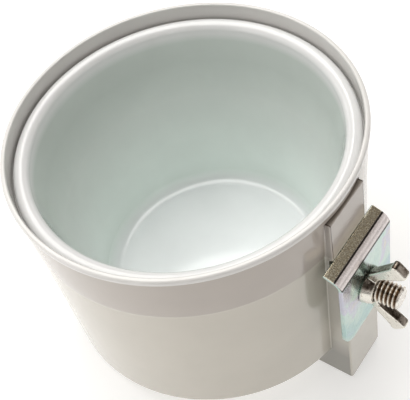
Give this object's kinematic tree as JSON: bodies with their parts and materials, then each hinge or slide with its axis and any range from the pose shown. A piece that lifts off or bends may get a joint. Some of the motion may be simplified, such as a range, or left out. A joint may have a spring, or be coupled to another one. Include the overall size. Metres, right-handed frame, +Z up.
{
  "type": "bolt-on cage cup",
  "caption": "Bolt-on cage cup: a taupe plastic outer cup with a lift-out white bowl, held on cage wire by a hooked clamp plate, carriage bolt and wing nut.",
  "frame": {"origin": "where the bolt's axis leaves the front face of the cup's mounting boss", "axes": "+X out of the boss along the bolt, +Z up along the cup's axis"},
  "size_m": [0.1336, 0.1142, 0.091],
  "materials": {
    "cup_plastic": "gloss",
    "bowl_glaze": "gloss",
    "bolt_steel": "satin",
    "plate_zinc": "satin",
    "nut_zinc": "satin"
  },
  "bodies": {
    "cup": {"outer_cup": "cup_plastic", "carriage_bolt": "bolt_steel"},
    "bowl": {"bowl": "bowl_glaze"},
    "clamp": {"clamp_plate": "plate_zinc"},
    "nut": {"wing_nut": "nut_zinc"}
  },
  "joints": [
    {"name": "bowl_lift", "type": "slide", "parent": "cup", "child": "bowl", "axis": [0, 0, 1], "range_m": [0, 0.08]},
    {"name": "plate_slide", "type": "slide", "parent": "cup", "child": "clamp", "axis": [1, 0, 0], "range_m": [0, 0.00564]},
    {"name": "nut_spin", "type": "hinge", "parent": "clamp", "child": "nut", "pos_m": [0.0021, 0, 0], "axis": [1, 0, 0], "range_deg": [0, 1440]}
  ],
  "couplings": [
    {"joint": "plate_slide", "follows": "nut_spin", "m_per_rad": 0.00022459}
  ]
}
